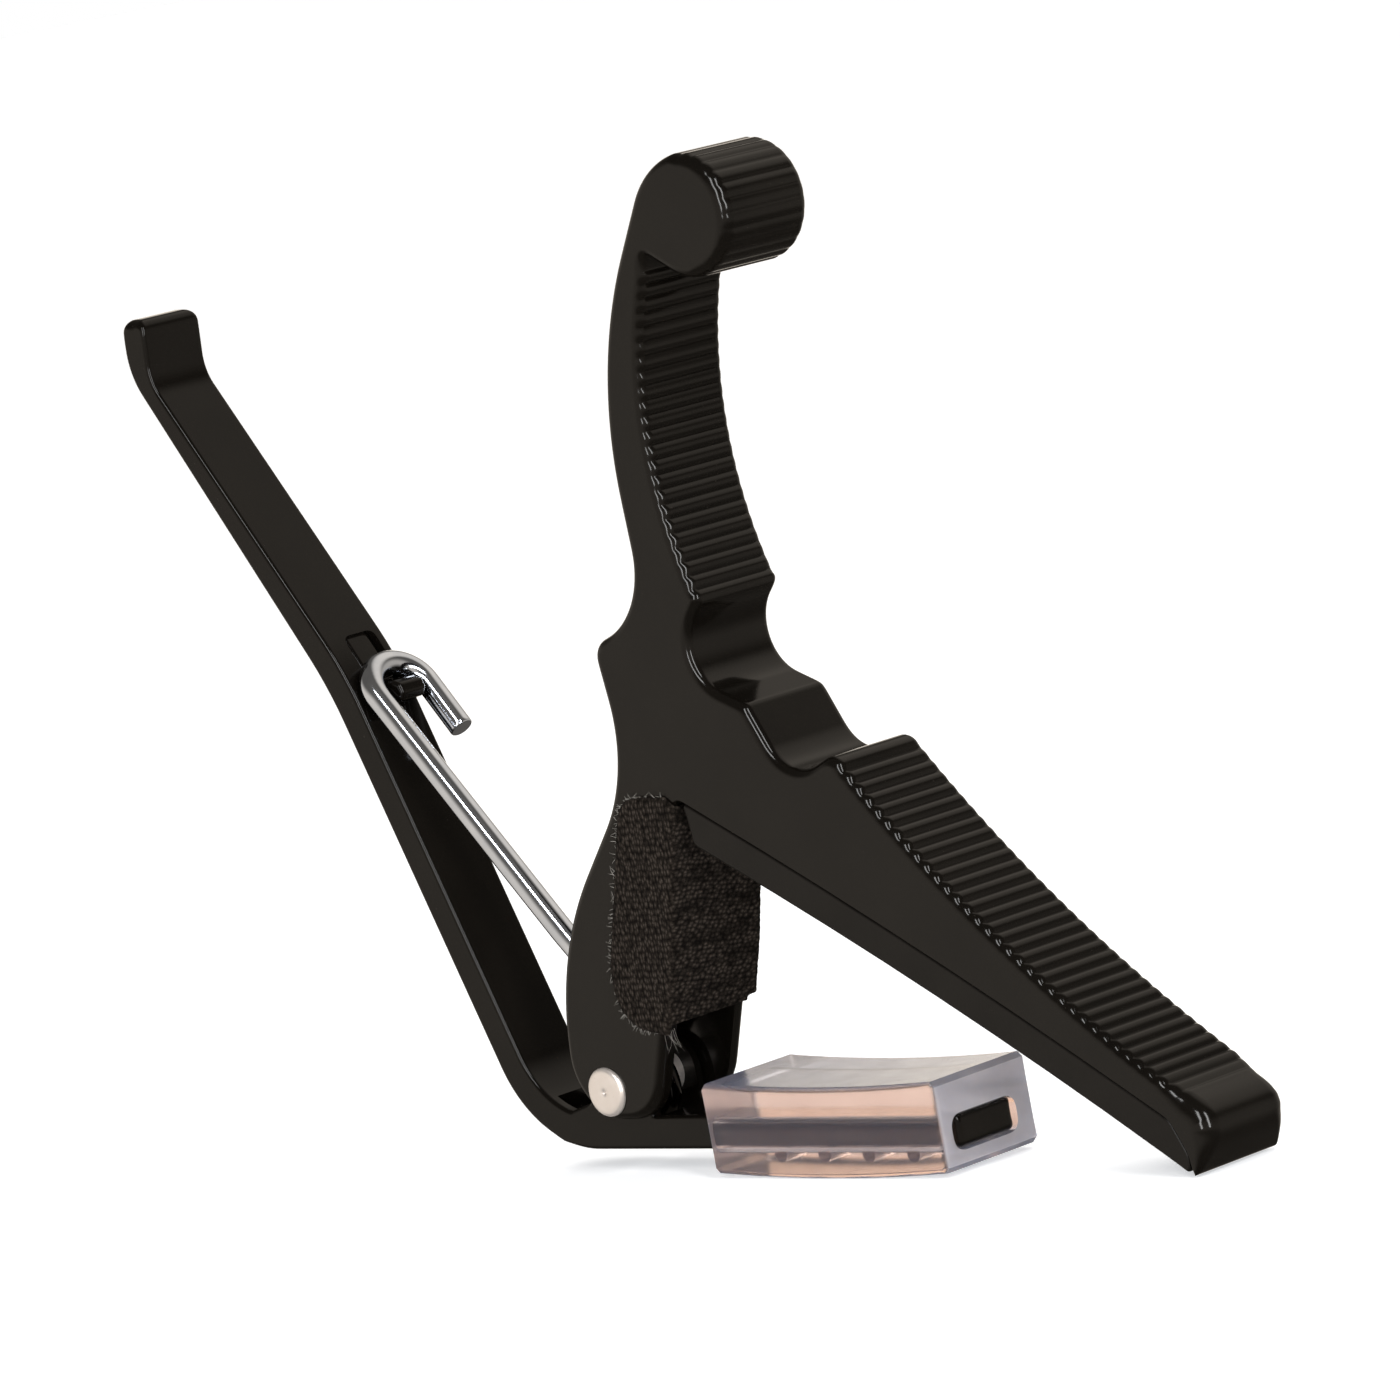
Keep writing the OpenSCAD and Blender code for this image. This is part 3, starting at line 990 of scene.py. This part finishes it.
def wire_route():
    """Short leg, part turn round the pin, long leg and hook, from the pivot."""
    start = polar(COIL_RADIUS, SHORT_LEG_ANGLE)
    route = [spaced(start + polar(SHORT_LEG, SHORT_LEG_ANGLE - 90), LEG_Y)]
    sweep = 360 + LONG_LEG_ANGLE - SHORT_LEG_ANGLE
    for i in range(COIL_POINTS + 1):
        t = i / COIL_POINTS
        place = polar(COIL_RADIUS, SHORT_LEG_ANGLE + sweep * t)
        route.append(spaced(place, LEG_Y - 2 * LEG_Y * t))
    leave = polar(COIL_RADIUS, LONG_LEG_ANGLE) + polar(LEAVE_LEAD, LONG_LEG_ANGLE + LEAVE_TURN)
    route.append(spaced(leave, -LEG_Y - LEAVE_SHIFT))
    # The long leg bends a little where it leaves the casting.
    route.append(spaced(EXIT - polar(EXIT_LEAD, 127), EXIT_Y + 0.25))
    route.append(spaced(EXIT + polar(EXIT_LEAD, 130.5), EXIT_Y - 0.05))
    for i in range(HOOK_POINTS + 1):
        a = math.pi * i / HOOK_POINTS
        place = HOOK_CENTRE + polar(HOOK_RADIUS * math.sin(a), HOOK_SLOPE)
        route.append(spaced(place, HOOK_Y + HOOK_RADIUS * (1 - math.cos(a))))
    end = HOOK_CENTRE + polar(HOOK_END, HOOK_SLOPE + HOOK_END_TURN)
    return route + [spaced(end, HOOK_Y + 2 * HOOK_RADIUS)]


def along(route, step):
    """Even points on a smooth curve through the route."""
    out = []
    n = len(route)
    for i in range(n - 1):
        a, b = route[i], route[i + 1]
        before, after = route[max(0, i - 1)], route[min(n - 1, i + 2)]
        size = (b - a).length
        leave = (b - before).normalized() * size
        arrive = (after - a).normalized() * size
        out += curve(a, b, leave, arrive, max(1, math.ceil(size / step)))
    return out + [route[-1]]


def swept_wire(name, route, radius, sides=28):
    """A round wire along a route, with softly sheared ends."""
    points = along(route, WIRE_STEP)
    n = len(points)
    headings = [(points[min(n - 1, i + 1)] - points[max(0, i - 1)]).normalized() for i in range(n)]
    side = Vector((0, 1, 0))
    verts, faces = [], []
    for i in range(n):
        side = (side - headings[i] * side.dot(headings[i])).normalized()
        other = headings[i].cross(side)
        rows = [(1.0, 0.0)]
        if i == 0:
            rows = WIRE_ENDS
        if i == n - 1:
            rows = [(size, -back) for size, back in WIRE_ENDS[::-1]]
        for size, shift in rows:
            centre = points[i] + headings[i] * shift
            for k in range(sides):
                a = 2 * math.pi * k / sides
                p = centre + (side * math.cos(a) + other * math.sin(a)) * radius * size
                verts.append(at_pivot(p.x, p.z, p.y))
    rings = len(verts) // sides
    for r in range(rings - 1):
        for k in range(sides):
            j = (k + 1) % sides
            below, above = r * sides, (r + 1) * sides
            faces.append((below + k, below + j, above + j, above + k))
    faces.append(tuple(range(sides))[::-1])
    faces.append(tuple(range((rings - 1) * sides, rings * sides)))
    return new_object(name, face_outwards(mesh_from(name, verts, faces)))


def make_spring():
    spring = swept_wire("spring_wire", wire_route(), WIRE_RADIUS)
    smooth(spring, ROUND_CREASE)
    spring.data.materials.append(WIRE_STEEL)
    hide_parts("torsion_spring")
    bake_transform(spring)


# ---------------------------------------------------------------- sleeve

SLEEVE_ROUND = 0.7 * MM
SLEEVE_CORNER = 0.6 * MM
BELLY = 0.55 * MM
SAG = 0.55 * MM
SLEEVE_SPANS = 24
SLOT_LOW_Y = -5.4 * MM
SLOT_HIGH_Y = 4.45 * MM
SLOT_BELOW_BAR = 0.12 * MM
SLOT_ABOVE_BAR = 0.1 * MM
SLOT_ROUND = 1.7 * MM
SLOT_OVERRUN = 6 * MM
SLOT_GROOVES = 4
GROOVE_SIDES = 20
GROOVE_RADIUS = 0.95 * MM
GROOVE_INSET = 0.6 * MM
# Millimetres from the sleeve's left end.
GROOVE_START = 9.5
GROOVE_PITCH = 6.7


def sleeve_outline():
    """The sleeve from the side: its underside bellies down and its top sags a little."""
    low, high = SLEEVE_LOW, SLEEVE_HIGH
    spans = [i / SLEEVE_SPANS for i in range(SLEEVE_SPANS + 1)]

    def across(t):
        return low.x + SLEEVE_CORNER + (high.x - low.x - 2 * SLEEVE_CORNER) * t

    under = [Vector((across(t), low.z + BELLY * (2 * t - 1) ** 2)) for t in spans]
    over = [Vector((across(t), high.z - SAG * 4 * t * (1 - t))) for t in spans[::-1]]
    foot, head = low.z + BELLY + SLEEVE_CORNER, high.z - SLEEVE_CORNER
    right = [Vector((high.x, foot)), Vector((high.x, head))]
    left = [Vector((low.x, head)), Vector((low.x, foot))]
    return under + right + over + left


def slot_cutter(floor, top):
    """A round-cornered bar through the sleeve from end to end."""
    corners = [(SLOT_LOW_Y, floor), (SLOT_HIGH_Y, floor), (SLOT_HIGH_Y, top), (SLOT_LOW_Y, top)]
    section = rounded_polygon([Vector(p) for p in corners], SLOT_ROUND, 10)
    ends = SLEEVE_LOW.x - SLOT_OVERRUN, SLEEVE_HIGH.x + SLOT_OVERRUN
    return prism("slot", *([(x, p.x, p.y) for p in section] for x in ends))


def make_sleeve():
    sleeve = rounded_plate(
        "silicone_sleeve", sleeve_outline(), SLEEVE_LOW.y, SLEEVE_HIGH.y,
        lambda p: SLEEVE_ROUND, step=0.6 * MM,
    )
    floor = BAR_BOTTOM - SLOT_BELOW_BAR
    combine(sleeve, slot_cutter(floor, BAR_TOP + SLOT_ABOVE_BAR), "DIFFERENCE")
    turns = [2 * math.pi * k / GROOVE_SIDES for k in range(GROOVE_SIDES)]
    for i in range(SLOT_GROOVES):
        centre = Vector((SLEEVE_LOW.x + (GROOVE_START + GROOVE_PITCH * i) * MM, floor))
        ring = [centre + Vector((math.cos(a), math.sin(a))) * GROOVE_RADIUS for a in turns]
        groove = plate("groove", ring, SLOT_LOW_Y + GROOVE_INSET, SLOT_HIGH_Y - GROOVE_INSET)
        combine(sleeve, groove, "DIFFERENCE")
    smooth(sleeve)
    finish_piece(sleeve, SILICONE, "jaw_lever", "silicone", "string_sleeve")


# ---------------------------------------------------------------- studio

CAMERA_PLACE = at_pivot(635.311, 139.622, -573.677)
CAMERA_AZIMUTH = math.radians(47.04)
CAMERA_ELEVATION = math.radians(6.643)
CAMERA_ROLL = math.radians(10.65)
LENS, SENSOR = 203.143, 36
CLIP = 0.05, 20
FLOOR_HALF_SIZE = 6.0
FLOOR_TONES = (0.90, 0.90, 0.90), (0.92, 0.92, 0.92)
FLOOR_GLOW = (0.93, 0.96, 1.0, 1)
FLOOR_GLOW_STRENGTH = 0.53
# Each strip: degrees from -Y towards +X, width, radiance.
STRIPS = {"strip_left": (26, 0.16, 12.5), "strip_right": (68, 0.15, 13.5)}
STRIP_REACH = 0.95
STRIP_HEIGHT = 0.46
STRIP_TALL = 1.05
STRIP_AIM = Vector((0, 0, 0.05))
OVERHEAD_WAY = Vector((0.22, -0.52, -0.82))
OVERHEAD_STRENGTH = 1.3
OVERHEAD_SPREAD = math.radians(40)
# The room. An edge, top or foot gives where a light starts and where it is full: for an
# edge along the light's own direction, for a top or foot by height.
BACKDROP_WAY = (-0.73, 0.68, 0.0)
BACKDROP_EDGE = 0.90, 0.985
BACKDROP_LIGHT = 0.9
UPPER_WAY = (0.05, 0.68, 0.72)
UPPER_EDGE = 0.78, 0.97
UPPER_LIGHT = 0.60
ACROSS_WAY = (0.73, 0.68, 0.0)
ACROSS_LOSS = -0.3
WALL_SHARE = 0.7
WALL_TOP = 0.50, 0.02
WALL_FOOT = -0.6, -0.2
WALL_LIGHT = 0.80
CEILING_LIGHT = 0.10
ROOM_TINT = (1.0, 0.90, 0.78, 1)
WHITE = (1, 1, 1, 1)


def make_camera():
    """Long lens from the right, a little above, with the horizon slightly rolled."""
    forward = Vector((
        -math.sin(CAMERA_AZIMUTH) * math.cos(CAMERA_ELEVATION),
        math.cos(CAMERA_AZIMUTH) * math.cos(CAMERA_ELEVATION),
        -math.sin(CAMERA_ELEVATION),
    ))
    level = forward.cross(Vector((0, 0, 1))).normalized()
    upright = level.cross(forward)
    right = level * math.cos(CAMERA_ROLL) - upright * math.sin(CAMERA_ROLL)
    up = upright * math.cos(CAMERA_ROLL) + level * math.sin(CAMERA_ROLL)
    data = bpy.data.cameras.new("camera")
    data.lens, data.sensor_width = LENS, SENSOR
    data.clip_start, data.clip_end = CLIP
    camera = new_object("camera", data)
    axes = Matrix((right, up, -forward)).transposed().to_4x4()
    camera.matrix_world = Matrix.Translation(CAMERA_PLACE) @ axes
    bpy.context.scene.camera = camera


def make_floor():
    """A pale floor that glows a little, so that it stays as bright as the backdrop."""
    size = FLOOR_HALF_SIZE
    verts = [(-size, -size, 0), (size, -size, 0), (size, size, 0), (-size, size, 0)]
    floor = new_object("floor", mesh_from("floor", verts, [(0, 1, 2, 3)]))
    s = Shader("pale_lit_table")
    floor.data.materials.append(s.set(
        Base_Color=s.clouded(s.noise(0.4), FLOOR_TONES),
        Roughness=0.9,
        Specular_IOR_Level=0.0,
        Emission_Color=FLOOR_GLOW,
        Emission_Strength=FLOOR_GLOW_STRENGTH,
    ))
    floor.visible_glossy = False


def strip_light(name, degrees, width, radiance):
    """An upright softbox in front of the object."""
    data = bpy.data.lights.new(name, "AREA")
    data.shape = "RECTANGLE"
    data.size, data.size_y = width, STRIP_TALL
    data.energy = radiance * math.pi * width * STRIP_TALL
    light = new_object(name, data)
    a = math.radians(degrees)
    light.location = (STRIP_REACH * math.sin(a), -STRIP_REACH * math.cos(a), STRIP_HEIGHT)
    light.rotation_euler = (STRIP_AIM - light.location).to_track_quat("-Z", "Y").to_euler()


def overhead_light():
    data = bpy.data.lights.new("overhead", "SUN")
    data.energy = OVERHEAD_STRENGTH
    data.angle = OVERHEAD_SPREAD
    light = new_object("overhead", data)
    light.visible_glossy = False
    light.rotation_euler = OVERHEAD_WAY.to_track_quat("-Z", "Y").to_euler()


def make_world():
    """A white backdrop for the camera. The object is lit by a dim warm room: a bright
    patch behind it, one high up behind it, and a band of wall dimmer on one side."""
    world = bpy.data.worlds.new("studio")
    world.use_nodes = True
    world.node_tree.nodes.clear()
    n = Nodes(world.node_tree)
    way = n.node("ShaderNodeTexCoord").outputs["Generated"]
    height = n.node("ShaderNodeSeparateXYZ", Vector=way).outputs["Z"]
    toward = {
        lobe: n.measure("DOT_PRODUCT", way, lobe) for lobe in (BACKDROP_WAY, UPPER_WAY, ACROSS_WAY)
    }
    backdrop = n.ease(toward[BACKDROP_WAY], *BACKDROP_EDGE, BACKDROP_LIGHT)
    upper = n.ease(toward[UPPER_WAY], *UPPER_EDGE, UPPER_LIGHT)
    band = n.math("MULTIPLY", n.ease(height, *WALL_TOP, WALL_LIGHT), n.ease(height, *WALL_FOOT))
    loss = n.ease(toward[ACROSS_WAY], -1.0, 1.0, ACROSS_LOSS)
    wall = n.math("MULTIPLY", band, n.math("ADD", loss, WALL_SHARE))
    patches = n.math("ADD", backdrop, upper)
    room = n.math("ADD", patches, n.math("ADD", wall, CEILING_LIGHT))
    seen = n.node("ShaderNodeLightPath").outputs["Is Camera Ray"]
    background = n.node(
        "ShaderNodeBackground",
        Color=n.mix(seen, ROOM_TINT, WHITE), Strength=n.mix(seen, room, 1.0, "FLOAT"),
    )
    n.node("ShaderNodeOutputWorld", Surface=background.outputs["Background"])
    bpy.context.scene.world = world
    bpy.context.scene.view_settings.view_transform = "Standard"


make_casting()
make_pad()
make_fray(make_felt())
make_pin()
make_lever()
make_spring()
make_sleeve()

make_camera()
make_floor()
make_world()
overhead_light()
for strip, sizes in STRIPS.items():
    strip_light(strip, *sizes)
